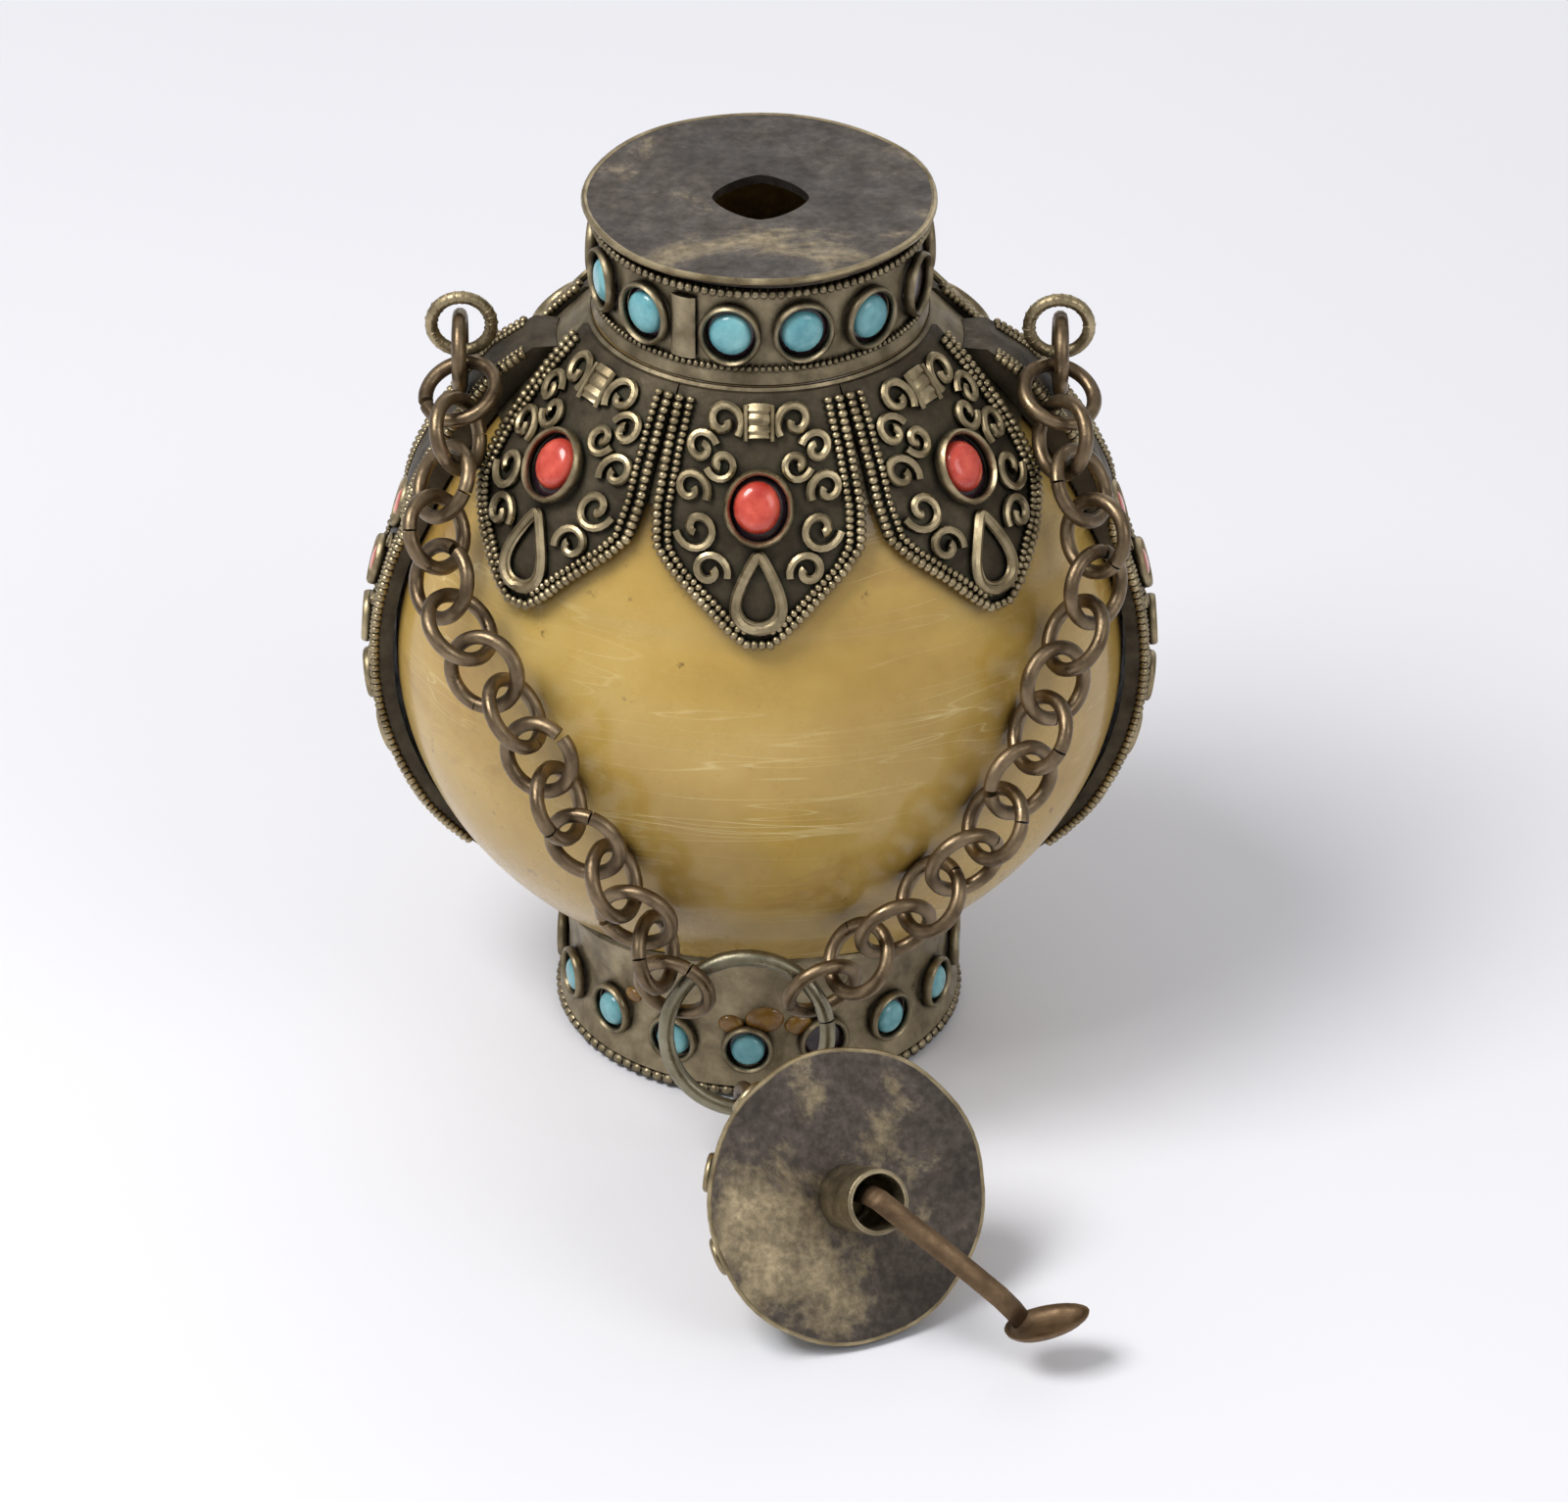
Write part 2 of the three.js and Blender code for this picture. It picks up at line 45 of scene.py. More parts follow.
# Sizes of the part, in millimetres, as the solids have them.
HALF_WIDTH, HALF_DEPTH, HALF_HEIGHT, MIDDLE_Z = 27.95, 23.0, 26.4, 32.3
SHOULDER_Z, SHOULDER_POWER = 44.0, 1.35
NECK_Z, NECK_R, NECK_H, PLATE_H = 61.6, 12.5, 8.0, 1.2
FOOT_R, FOOT_TOP = 15.7, 13.0
CAP_CENTRE = Vector((6.8, -42.3, 10.15))
CAP_AXIS = Vector((0.366, -0.787, 0.496)).normalized()
CAP_R = 11.0
TUBE_R, TUBE_L = 2.45, 5.8
DOME_H, FINIAL_R = 9.3, 1.6
MOUTH_R = 3.65
BONE_WALL = 3.0
BONE_FACET_GAP = 0.09
LINKS_A_SIDE = 16
LINK_WIRE, RING_WIRE = 0.56, 0.63


def linear(code):
    parts = [int(code[i:i + 2], 16) / 255 for i in (0, 2, 4)]
    low = [c / 12.92 if c < 0.04045 else ((c + 0.055) / 1.055) ** 2.4 for c in parts]
    return (*low, 1.0)


def material(name, metallic, roughness, **sockets):
    m = bpy.data.materials.new(name)
    m.use_nodes = True
    shader = m.node_tree.nodes["Principled BSDF"]
    shader.inputs["Metallic"].default_value = metallic
    shader.inputs["Roughness"].default_value = roughness
    for key, value in sockets.items():
        shader.inputs[key.replace("_", " ")].default_value = value
    return m


def noise(m, scale, detail=6.0, rough=0.6, stretch=(1, 1, 1), warp=0.0, turn=0.0):
    nodes, links = m.node_tree.nodes, m.node_tree.links
    place = nodes.new("ShaderNodeTexCoord")
    mapping = nodes.new("ShaderNodeMapping")
    mapping.inputs["Rotation"].default_value = (0.0, turn, 0.0)
    mapping.inputs["Scale"].default_value = stretch
    tex = nodes.new("ShaderNodeTexNoise")
    tex.inputs["Scale"].default_value = scale
    tex.inputs["Detail"].default_value = detail
    tex.inputs["Roughness"].default_value = rough
    tex.inputs["Distortion"].default_value = warp
    links.new(place.outputs["Object"], mapping.inputs["Vector"])
    links.new(mapping.outputs["Vector"], tex.inputs["Vector"])
    return tex.outputs["Fac"]


def ramp(m, source, stops):
    node = m.node_tree.nodes.new("ShaderNodeValToRGB")
    for i, (at, colour) in enumerate(stops):
        if i < 2:
            stop = node.color_ramp.elements[i]
            stop.position = at
        else:
            stop = node.color_ramp.elements.new(at)
        stop.color = linear(colour) if isinstance(colour, str) else (colour, colour, colour, 1)
    m.node_tree.links.new(source, node.inputs["Fac"])
    return node.outputs["Color"]


def mix(m, factor, a, b, kind="MIX"):
    node = m.node_tree.nodes.new("ShaderNodeMix")
    node.data_type = "RGBA"
    node.blend_type = kind
    for value, socket in ((factor, node.inputs[0]), (a, node.inputs[6]), (b, node.inputs[7])):
        if isinstance(value, bpy.types.NodeSocket):
            m.node_tree.links.new(value, socket)
        else:
            socket.default_value = value
    return node.outputs[2]


def wire_in(m, name, source):
    m.node_tree.links.new(source, m.node_tree.nodes["Principled BSDF"].inputs[name])


def bump(m, source, strength, distance):
    node = m.node_tree.nodes.new("ShaderNodeBump")
    node.inputs["Strength"].default_value = strength
    node.inputs["Distance"].default_value = distance
    m.node_tree.links.new(source, node.inputs["Height"])
    wire_in(m, "Normal", node.outputs["Normal"])


# Ambient occlusion; the materials use it to paint shade into hollows and narrow gaps.
def crevice(m, distance):
    node = m.node_tree.nodes.new("ShaderNodeAmbientOcclusion")
    node.inputs["Distance"].default_value = distance
    node.samples = 6
    return node.outputs["AO"]


def metal(name, bright, mid, dark, green="4f5a48", roughness=0.42, metallic=0.85, reach=0.0016):
    m = material(name, metallic, roughness)
    cloud = ramp(m, noise(m, 420.0), ((0.33, mid), (0.68, bright)))
    # Hollows, found by ambient occlusion, take a dark colour mixed with green: the green is real verdigris,
    # the dark is partly tarnish and partly painted shade.
    tarnish_and_shade = ramp(m, noise(m, 900.0, 4.0), ((0.42, dark), (0.62, green)))
    open_air = ramp(m, crevice(m, reach), ((0.30, 0.0), (0.82, 1.0)))
    wire_in(m, "Base Color", mix(m, open_air, tarnish_and_shade, cloud))
    wire_in(m, "Roughness", ramp(m, noise(m, 700.0), ((0.3, roughness - 0.1), (0.7, roughness + 0.22))))
    bump(m, noise(m, 2600.0, 5.0), 0.25, 0.00012)
    return m


def plate_metal(name):
    m = material(name, 0.75, 0.45)
    spread = noise(m, 75.0, 10.0, 0.7, warp=0.3)
    patch = ramp(m, spread, ((0.42, "4a433d"), (0.54, "5d544c"), (0.60, "8d7f66"), (0.70, "b8a684")))
    speck = ramp(m, noise(m, 1500.0, 5.0), ((0.40, 0.55), (0.62, 1.0)))
    wire_in(m, "Base Color", mix(m, 0.8, patch, speck, "MULTIPLY"))
    wire_in(m, "Roughness", ramp(m, noise(m, 500.0), ((0.3, 0.34), (0.7, 0.62))))
    bump(m, noise(m, 230.0, 8.0), 0.35, 0.0004)
    return m


def line_marks(m, scale, turn, at, width):
    """Thin lines that run one way: a narrow band of a stretched noise."""
    grain = noise(m, scale, 2.0, 0.5, (0.045, 0.2, 1.0), turn=turn)
    return ramp(m, grain, ((at - width, 0.0), (at, 1.0), (at + width, 0.0)))


def bone_material():
    m = material("bone", 0.0, 0.3, Subsurface_Weight=0.06, Subsurface_Scale=0.002, Coat_Weight=0.25)
    base = ramp(m, noise(m, 45.0, 6.0, 0.6), ((0.3, "9c7c38"), (0.5, "b4944a"), (0.72, "c4a761")))
    stain = ramp(m, noise(m, 70.0, 8.0, 0.72, warp=0.6), ((0.56, 0.0), (0.78, 0.75)))
    tinted = mix(m, stain, base, linear("8a5f2e"))
    speck = ramp(m, noise(m, 620.0, 6.0), ((0.66, 0.0), (0.74, 0.8)))
    dotted = mix(m, speck, tinted, linear("5d4222"))
    fine = mix(m, 1.0, line_marks(m, 420.0, 0.62, 0.52, 0.007), line_marks(m, 300.0, 0.3, 0.55, 0.005), "ADD")
    marks = mix(m, 1.0, fine, ramp(m, noise(m, 60.0, 3.0), ((0.42, 0.0), (0.62, 0.42))), "MULTIPLY")
    scored = mix(m, marks, dotted, linear("e2cf98"))
    # Painted shade: the bone darkens to brown where ambient occlusion finds other parts close by, under the
    # petals, bands and foot.
    shade_near_parts = ramp(m, crevice(m, 0.0022), ((0.35, "5a4022"), (0.85, "ffffff")))
    wire_in(m, "Base Color", mix(m, 0.85, scored, shade_near_parts, "MULTIPLY"))
    worn = noise(m, 70.0, 10.0, 0.7)
    wire_in(m, "Roughness", ramp(m, worn, ((0.35, 0.2), (0.7, 0.46))))
    bump(m, mix(m, 0.5, worn, marks), 0.3, 0.0003)
    return m


def stone_material(name, low, high, scale):
    m = material(name, 0.0, 0.22, Coat_Weight=0.3)
    wire_in(m, "Base Color", ramp(m, noise(m, scale, 7.0), ((0.35, low), (0.68, high))))
    bump(m, noise(m, 1400.0, 4.0), 0.12, 0.0001)
    return m


# The third colour of each metal is the dark of its hollows: partly tarnish, partly painted shade.
SILVER = metal("aged_silver", "a5977a", "6f634d", "231c14", "4a4434", 0.36, 0.92, 0.0022)
WIRE = metal("filigree_wire", "b9a987", "7f7156", "1d1710", "40402f", 0.36, 1.0, 0.0013)
# The ground sheet under the wires is a darker copy of the wire metal: painted shade of the hollows between
# the wires, with some real tarnish.
SHADED_GROUND = metal("ground_tarnish_and_shade", "5b5140", "3b3328", "17120d", "2e3326", 0.5, 0.8, 0.0016)
CHAIN = metal("chain_metal", "8d7a60", "5f4f3c", "2c251c", "4a4a3a", 0.32, 0.95, 0.0008)
RING = metal("ring_metal", "9a9480", "7b755f", "3a382c", "565a48", 0.28, 0.95, 0.0008)
SPOON = metal("spoon_metal", "7d664c", "574431", "2a2018", "4c4435", 0.42, 0.8, 0.001)
PLATE = plate_metal("tarnished_plate")
BONE = bone_material()
BLUE = stone_material("blue_stone", "4f8f99", "7fb9bd", 500.0)
CORAL = stone_material("red_stone", "b0352a", "d95f4c", 600.0)
LACQUER = stone_material("lacquer", "6b4716", "94702c", 700.0)
RESIN = stone_material("resin", "1d1218", "33222a", 900.0)


class Form:
    """Vertices in millimetres and faces, gathered for one piece."""

    def __init__(self):
        self.verts = []
        self.faces = []

    def add(self, verts, faces):
        base = len(self.verts)
        self.verts.extend(tuple(v) for v in verts)
        self.faces.extend(tuple(base + i for i in f) for f in faces)
        return self

    def grid(self, rows, closed_rows=False, closed_columns=True, caps=False):
        """Rows of points joined by quads."""
        n, k = len(rows[0]), len(rows)
        verts = [p for row in rows for p in row]
        faces = []
        for r in range(k if closed_rows else k - 1):
            for i in range(n if closed_columns else n - 1):
                a, b = r * n + i, r * n + (i + 1) % n
                c, d = ((r + 1) % k) * n + (i + 1) % n, ((r + 1) % k) * n + i
                faces.append((a, b, c, d))
        if caps:
            faces.append(tuple(reversed(range(n))))
            faces.append(tuple(range((k - 1) * n, k * n)))
        return self.add(verts, faces)

    def tube(self, path, radius, sides=8, closed=False, flat=1.0, normals=None):
        """A round wire along points. With normals, flat squeezes it along them."""
        path = [Vector(p) for p in path]
        count = len(path)
        rows = []
        up = None
        for i, p in enumerate(path):
            before = path[i - 1] if (i or closed) else path[0]
            after = path[(i + 1) % count] if (i + 1 < count or closed) else path[-1]
            t = (after - before).normalized()
            if normals is not None:
                up = Vector(normals[i])
            elif up is None:
                up = Vector((0, 0, 1)) if abs(t.z) < 0.9 else Vector((1, 0, 0))
            across = up.cross(t).normalized()
            up = t.cross(across).normalized()
            r = radius(i / max(1, count - 1)) if callable(radius) else radius
            rows.append([p + across * (math.cos(a) * r) + up * (math.sin(a) * r * flat)
                         for a in (2 * math.pi * j / sides for j in range(sides))])
        return self.grid(rows, closed_rows=closed, caps=not closed)

    def bead(self, point, radius, axis=(0, 0, 1), squash=1.0):
        key = Vector(axis).normalized()
        side = key.orthogonal().normalized()
        other = key.cross(side)
        p = Vector(point)
        rows = []
        for j in range(1, 5):
            lat = math.pi * j / 5
            rows.append([p + (side * math.cos(a) + other * math.sin(a)) * (math.sin(lat) * radius)
                         - key * (math.cos(lat) * radius * squash)
                         for a in (2 * math.pi * i / 8 for i in range(8))])
        return self.grid(rows, caps=True)

    def string(self, path, radius, spacing, closed=False, squash=0.75):
        """Beads in a row along a line, touching one another."""
        points = [Vector(p) for p in path] + ([Vector(path[0])] if closed else [])
        lengths = [(b - a).length for a, b in zip(points, points[1:])]
        total = sum(lengths)
        count = max(3, round(total / spacing))
        for i in range(count):
            at = total * (i + 0.5) / count
            k = 0
            while k < len(lengths) - 1 and at > lengths[k]:
                at -= lengths[k]
                k += 1
            way = points[k + 1] - points[k]
            self.bead(points[k] + way * (at / max(1e-9, lengths[k])),
                      radius * random.uniform(0.93, 1.05), way, squash)
        return self

    def turned(self, profile, place=None, around=96, wobble=None):
        """A profile of (radius, height) turned about Z; it closes on itself."""
        rows = []
        for j in range(around):
            a = 2 * math.pi * j / around
            row = []
            for r, z in profile:
                k = 1.0 + (wobble(a, z) if wobble else 0.0)
                p = Vector((r * k * math.sin(a), -r * k * math.cos(a), z))
                row.append(place @ p if place else p)
            rows.append(row)
        return self.grid([list(r) for r in zip(*rows)], closed_rows=True)

    def dome(self, place, radius, height, long=1.0, around=20, rings=6):
        """A rounded stone on a surface, with a skirt below it."""
        rows = [[place @ Vector((radius * math.cos(a), radius * long * math.sin(a), -0.3))
                 for a in (2 * math.pi * i / around for i in range(around))]]
        for j in range(rings):
            t = j / rings
            r = radius * math.cos(t * math.pi / 2) ** 0.62
            z = height * math.sin(t * math.pi / 2)
            rows.append([place @ Vector((r * math.cos(a), r * long * math.sin(a), z))
                         for a in (2 * math.pi * i / around for i in range(around))])
        return self.grid(rows, caps=True)

    def done(self, name, look, body, slot, replaces=()):
        mesh = bpy.data.meshes.new(name)
        mesh.from_pydata([(x * MM, y * MM, z * MM) for x, y, z in self.verts], [], self.faces)
        mesh.validate()
        shell = bmesh.new()
        shell.from_mesh(mesh)
        bmesh.ops.recalc_face_normals(shell, faces=shell.faces)
        shell.to_mesh(mesh)
        shell.free()
        mesh.materials.append(look)
        mesh.shade_smooth()
        mesh.set_sharp_from_angle(angle=math.radians(SHARP_ANGLE))
        o = bpy.data.objects.new(name, mesh)
        bpy.context.scene.collection.objects.link(o)
        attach(o, body)
        if replaces:
            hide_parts(*replaces)
        return o


def half_size(z, side):
    full = HALF_WIDTH if side else HALF_DEPTH

    def egg(h):
        return full * math.sqrt(max(0.02, 1 - ((h - MIDDLE_Z) / HALF_HEIGHT) ** 2))
    if z <= SHOULDER_Z:
        return egg(z)
    t = min(1.0, (z - SHOULDER_Z) / (NECK_Z - SHOULDER_Z))
    return egg(SHOULDER_Z) + (NECK_R - egg(SHOULDER_Z)) * t ** SHOULDER_POWER


def skin(angle, z, out=0.0):
    return Vector(((half_size(z, True) + out) * math.sin(angle),
                   -(half_size(z, False) + out) * math.cos(angle), z))


def skin_normal(angle, z):
    along = skin(angle + 0.01, z) - skin(angle - 0.01, z)
    up = skin(angle, z + 0.1) - skin(angle, z - 0.1)
    return along.cross(up).normalized()


def place_on(point, normal, up=Vector((0, 0, 1))):
    z = Vector(normal).normalized()
    y = (up - z * up.dot(z)).normalized()
    x = y.cross(z)
    return Matrix.Translation(point) @ Matrix((x, y, z)).transposed().to_4x4()


def steps(a, b, count):
    return [a + (b - a) * i / count for i in range(count + 1)]


class Jewels:
    """Settings, their resin and their stones, gathered for one carrier."""

    def __init__(self, name, body, metal_form):
        self.name, self.body, self.metal = name, body, metal_form
        self.resin, self.blue, self.red = Form(), Form(), Form()

    def add(self, point, normal, radius, kind, long=1.0, wall=0.42, height=0.9, shift=(0, 0)):
        place = place_on(point, normal)
        count = 28
        wide, tall = radius + wall / 2, radius * long + wall / 2
        ring = [place @ Vector((wide * math.cos(a), tall * math.sin(a), height * 0.5))
                for a in (2 * math.pi * i / count for i in range(count))]
        normals = [normal] * count
        self.metal.tube(ring, wall / 2, 8, closed=True, flat=height / wall, normals=normals)
        self.resin.dome(place, radius + 0.05, height * 0.35, long)
        if kind:
            stone = place @ Matrix.Translation(Vector((shift[0], shift[1], height * 0.2)))
            form = self.blue if kind == "blue" else self.red
            form.dome(stone, radius * 0.84, height * 0.85, long * 0.98)

    def done(self, slot="metal"):
        for form, look, word in ((self.resin, RESIN, "resin"), (self.blue, BLUE, "blue_stones"),
                                 (self.red, CORAL, "red_stones")):
            if form.verts:
                form.done(f"{self.name}_{word}", look, self.body, slot)


def bone():
    form = Form()
    count = 120
    angles = [2 * math.pi * i / count for i in range(count)]
    rows = [[skin(a, z, -BONE_FACET_GAP) for a in angles] for z in steps(8.0, NECK_Z - 0.1, 70)]
    rows.append([Vector((MOUTH_R * math.sin(a), -MOUTH_R * math.cos(a), NECK_Z - 0.1)) for a in angles])
    rows.append([Vector((MOUTH_R * math.sin(a), -MOUTH_R * math.cos(a), NECK_Z - 3.2)) for a in angles])
    rows += [[skin(a, z, -BONE_WALL) for a in angles] for z in steps(NECK_Z - 3.2, 14.0, 24)]
    form.grid(rows, caps=True)
    form.done("bone_shell", BONE, "bottle", "bone", ("bone_front", "bone_back"))


# Distance down the petal and its half width there.
OUTLINE = ((0.0, 6.1), (4.0, 7.1), (8.0, 7.9), (10.6, 7.9),
           (12.0, 6.9), (14.2, 4.6), (16.6, 2.3), (17.9, 0.6))
PETAL_LONG = 17.9
PETAL_DROP = 0.945


def petal_half(v):
    for (v0, h0), (v1, h1) in zip(OUTLINE, OUTLINE[1:]):
        if v <= v1:
            return h0 + (h1 - h0) * (v - v0) / (v1 - v0)
    return OUTLINE[-1][1]


def scroll(centre, size, turn, hand):
    """A spiral in petal millimetres, from its outer end to its middle."""
    line = []
    for i in range(22):
        t = i / 21
        a = turn + hand * t * 7.2
        r = size * (1 - 0.78 * t)
        line.append((centre[0] + r * math.cos(a), centre[1] + r * math.sin(a)))
    return line


def petal(name, neck_angle, tip_angle, coral=True):
    def at(u, v, out):
        z = NECK_Z - 0.3 - v * PETAL_DROP
        t = v / PETAL_LONG
        mid = math.radians(neck_angle + (tip_angle - neck_angle) * t)
        reach = math.hypot(half_size(z, True) * math.cos(mid), half_size(z, False) * math.sin(mid))
        return skin(mid + u / (reach + 0.8), z, out)

    form = Form()
    rows = []
    for v in steps(0.0, PETAL_LONG, 40):
        half = petal_half(v)
        front = [at(u, v, 0.62) for u in steps(-half, half, 14)]
        back = [at(u, v, 0.3) for u in steps(half, -half, 14)]
        rows.append(front + back)
    ground = Form().grid(rows, caps=True)
    ground.done(name + "_ground", SHADED_GROUND, "bottle", "metal", (name,))

    def edge(inset):
        right = [(petal_half(v) - inset, v) for v in steps(0.4, PETAL_LONG - inset * 1.3, 30)]
        left = [(-u, v) for u, v in reversed(right)]
        return [at(max(-8, min(8, u)), v, 0.95) for u, v in right + left]
    form.string(edge(0.35), 0.43, 0.58)
    form.string(edge(1.2), 0.36, 0.52)

    for sign in (-1, 1):
        for centre, size, turn in (((2.6, 1.7), 1.4, 2.4), ((4.2, 3.6), 1.2, 3.4), ((2.7, 4.6), 1.15, 0.3),
                                   ((5.0, 6.4), 1.35, 2.6), ((4.5, 9.1), 1.6, 0.2),
                                   ((3.6, 12.0), 1.4, 2.8)):
            start = turn if sign > 0 else math.pi - turn
            line = scroll((centre[0] * sign, centre[1]), size, start, sign)
            points = [at(u, v, 0.98) for u, v in line]
            form.tube(points, 0.34, 8)
    strap = [at(0, v, 1.0 + 0.12 * math.sin(v * 9)) for v in steps(0.6, 2.8, 8)]
    form.tube(strap, 1.0, 6, flat=0.35, normals=[skin_normal(math.radians(neck_angle), 60)] * 9)
    for u in (-0.95, 0.95):
        form.tube([at(u, v, 1.15) for v in steps(0.5, 2.9, 6)], 0.2, 6)

    drop = []
    for i in range(40):
        a = 2 * math.pi * i / 40
        width = 1.95 * math.sin(a) * (0.62 + 0.38 * math.cos(a)) * 1.25
        drop.append((width, 13.5 + 2.75 * math.cos(a)))
    form.tube([at(u, v, 1.05) for u, v in drop], 0.42, 8, closed=True)
    inner = [at(u * 0.8, 13.5 + (v - 13.5) * 0.84, 1.05) for u, v in drop]
    form.tube(inner, 0.2, 6, closed=True)

    middle = math.radians(neck_angle + (tip_angle - neck_angle) * 0.4)
    z = NECK_Z - 0.3 - 7.6 * PETAL_DROP
    jewels = Jewels(name, "bottle", form)
    jewels.add(skin(middle, z, 0.75), skin_normal(middle, z), 2.1, "red" if coral else None, 1.15,
               0.5, 1.15, (random.uniform(-0.2, 0.2), random.uniform(-0.2, 0.3)))
    jewels.done()
    form.done(name + "_filigree", WIRE, "bottle", "metal")


def collar():
    form = Form()
    angles = [2 * math.pi * i / 120 for i in range(120)]
    rows = [[skin(a, z, 0.24) for a in angles] for z in steps(53.5, NECK_Z - 0.1, 12)]
    rows += [[skin(a, z, 0.06) for a in angles] for z in steps(NECK_Z - 0.1, 53.5, 12)]
    form.grid(rows, closed_rows=True)
    form.done("shoulder_sheet", SILVER, "bottle", "metal")


def side_band(name, sign):
    form = Form()
    middle = sign * math.pi / 2
    half = math.radians(8.8)

    def proud(z):
        t = min(1.0, max(0.0, (z - SHOULDER_Z) / (NECK_Z - SHOULDER_Z)))
        return (1.7 + 1.8 * math.sqrt(t)) * (1.0 - 0.75 * max(0.0, t - 0.72) / 0.28)
    rows = []
    for z in steps(14.0, NECK_Z - 2.6, 60):
        wide = half * (0.55 + 0.45 * min(1.0, (z - 14.0) / 5.0))
        front = [skin(a, z, proud(z)) for a in steps(middle - wide, middle + wide, 10)]
        back = [skin(a, z, 0.3) for a in steps(middle + wide, middle - wide, 10)]
        rows.append(front + back)
    Form().grid(rows, caps=True).done(name + "_ground", SHADED_GROUND, "bottle", "metal", (name,))
    for inset, size in ((0.0, 0.42), (0.042, 0.3)):
        for side in (-1, 1):
            line = []
            for z in steps(14.6, NECK_Z - 3.0, 70):
                wide = half * (0.55 + 0.45 * min(1.0, (z - 14.0) / 5.0)) - inset
                line.append(skin(middle + side * wide, z, proud(z) + 0.05))
            form.string(line, size, size * 1.35)
    jewels = Jewels(name, "bottle", form)
    kinds = ("blue", None, "red", "blue", "red", "red")
    for z, kind in zip(steps(19.0, 44.0, 5), kinds):
        jewels.add(skin(middle, z, proud(z)), skin_normal(middle, z), 1.5, kind, 1.1, 0.4, 0.8)
    for z in steps(21.5, 41.5, 4):
        for side in (-1, 1):
            centre = middle + side * half * 0.42
            points = []
            for i in range(16):
                a = i / 15 * 5.0
                r = 0.75 * (1 - 0.7 * i / 15)
                points.append(skin(centre + side * r * math.cos(a) / HALF_DEPTH, z + r * math.sin(a),
                                   proud(z) + 0.2))
            form.tube(points, 0.22, 6)
    jewels.done()
    form.done(name + "_strip", WIRE, "bottle", "metal")


def neck():
    top = NECK_Z + NECK_H
    form = Form()
    form.turned([(10.6, NECK_Z + 0.05), (NECK_R + 0.1, NECK_Z + 0.05), (NECK_R - 0.1, NECK_Z + 0.7),
                 (NECK_R - 0.5, NECK_Z + 1.5), (NECK_R - 0.5, top - 0.3), (10.6, top - 0.3)])
    ring = [Vector((math.sin(a), -math.cos(a), 0)) for a in (2 * math.pi * i / 90 for i in range(90))]
    form.string([p * (NECK_R - 0.15) + Vector((0, 0, top - 0.55)) for p in ring], 0.42, 0.62, closed=True)
    form.string([p * (NECK_R - 0.2) + Vector((0, 0, NECK_Z + 1.2)) for p in ring], 0.3, 0.5, closed=True)
    jewels = Jewels("neck", "bottle", form)
    for degrees in (-160, -130, -98, -70, -43, -10, 15, 41, 70, 100, 130, 165):
        a = math.radians(degrees)
        out = Vector((math.sin(a), -math.cos(a), 0))
        at = out * (NECK_R - 0.5) + Vector((0, 0, NECK_Z + 4.0 + random.uniform(-0.3, 0.3)))
        kind = None if degrees in (70, 130) else "blue"
        jewels.add(at, out, 1.9, kind, 1.08, 0.46, 0.85, (random.uniform(-0.15, 0.15), 0))
    a = math.radians(-27)
    out = Vector((math.sin(a), -math.cos(a), 0))
    form.tube([out * (NECK_R - 0.2) + Vector((0, 0, z)) for z in steps(NECK_Z + 1.6, top - 1.4, 6)],
              1.0, 8, flat=0.3, normals=[out] * 7)
    jewels.done()
    form.done("neck_band", SILVER, "bottle", "metal", ("neck_wall",))

    plate = Form()
    count = 144
    outer, lip, hole, hole_low = [], [], [], []
    for i in range(count):
        a = 2 * math.pi * i / count
        s, c = math.sin(a), math.cos(a)
        wave = 1 + 0.006 * math.sin(3 * a + 1) + 0.004 * math.sin(7 * a)
        reach = (abs(s) ** 1.5 + abs(c) ** 1.5) ** (-1 / 1.5)
        lift = 0.12 * math.sin(2 * a + 0.6)
        outer.append(Vector(((NECK_R + 0.42) * wave * s, -(NECK_R + 0.42) * wave * c, top + 0.95 + lift)))
        lip.append(Vector(((NECK_R + 0.42) * wave * s, -(NECK_R + 0.42) * wave * c, top + 0.5 + lift)))
        hole.append(Vector((3.6 * reach * s, -3.5 * reach * c, top + 0.8)))
        hole_low.append(Vector((3.6 * reach * s, -3.5 * reach * c, top + 0.1)))
    inner_ring = [h.lerp(o, 0.12) + Vector((0, 0, 0.02)) for h, o in zip(hole, outer)]
    mids = [[h.lerp(o, t) for h, o in zip(hole, outer)] for t in (0.3, 0.5, 0.7, 0.85, 0.96)]
    rows = [hole_low, hole, inner_ring, *mids, outer, lip, [p * 0.97 for p in lip]]
    rows[-1] = [Vector((p.x, p.y, top + 0.1)) for p in rows[-1]]
    plate.grid(rows, closed_rows=True)
    plate.done("neck_top", PLATE, "bottle", "dark_metal", ("neck_plate",))
    rim = Form().tube([o.lerp(l, 0.4) for o, l in zip(outer, lip)][::2], 0.26, 8, closed=True)
    rim.done("neck_rim", WIRE, "bottle", "metal")


def foot_edge(a, r):
    low, high = 8.0, 20.0
    for _ in range(24):
        z = (low + high) / 2
        p = skin(a, z, 0.15)
        if math.hypot(p.x, p.y) > r:
            high = z
        else:
            low = z
    return low


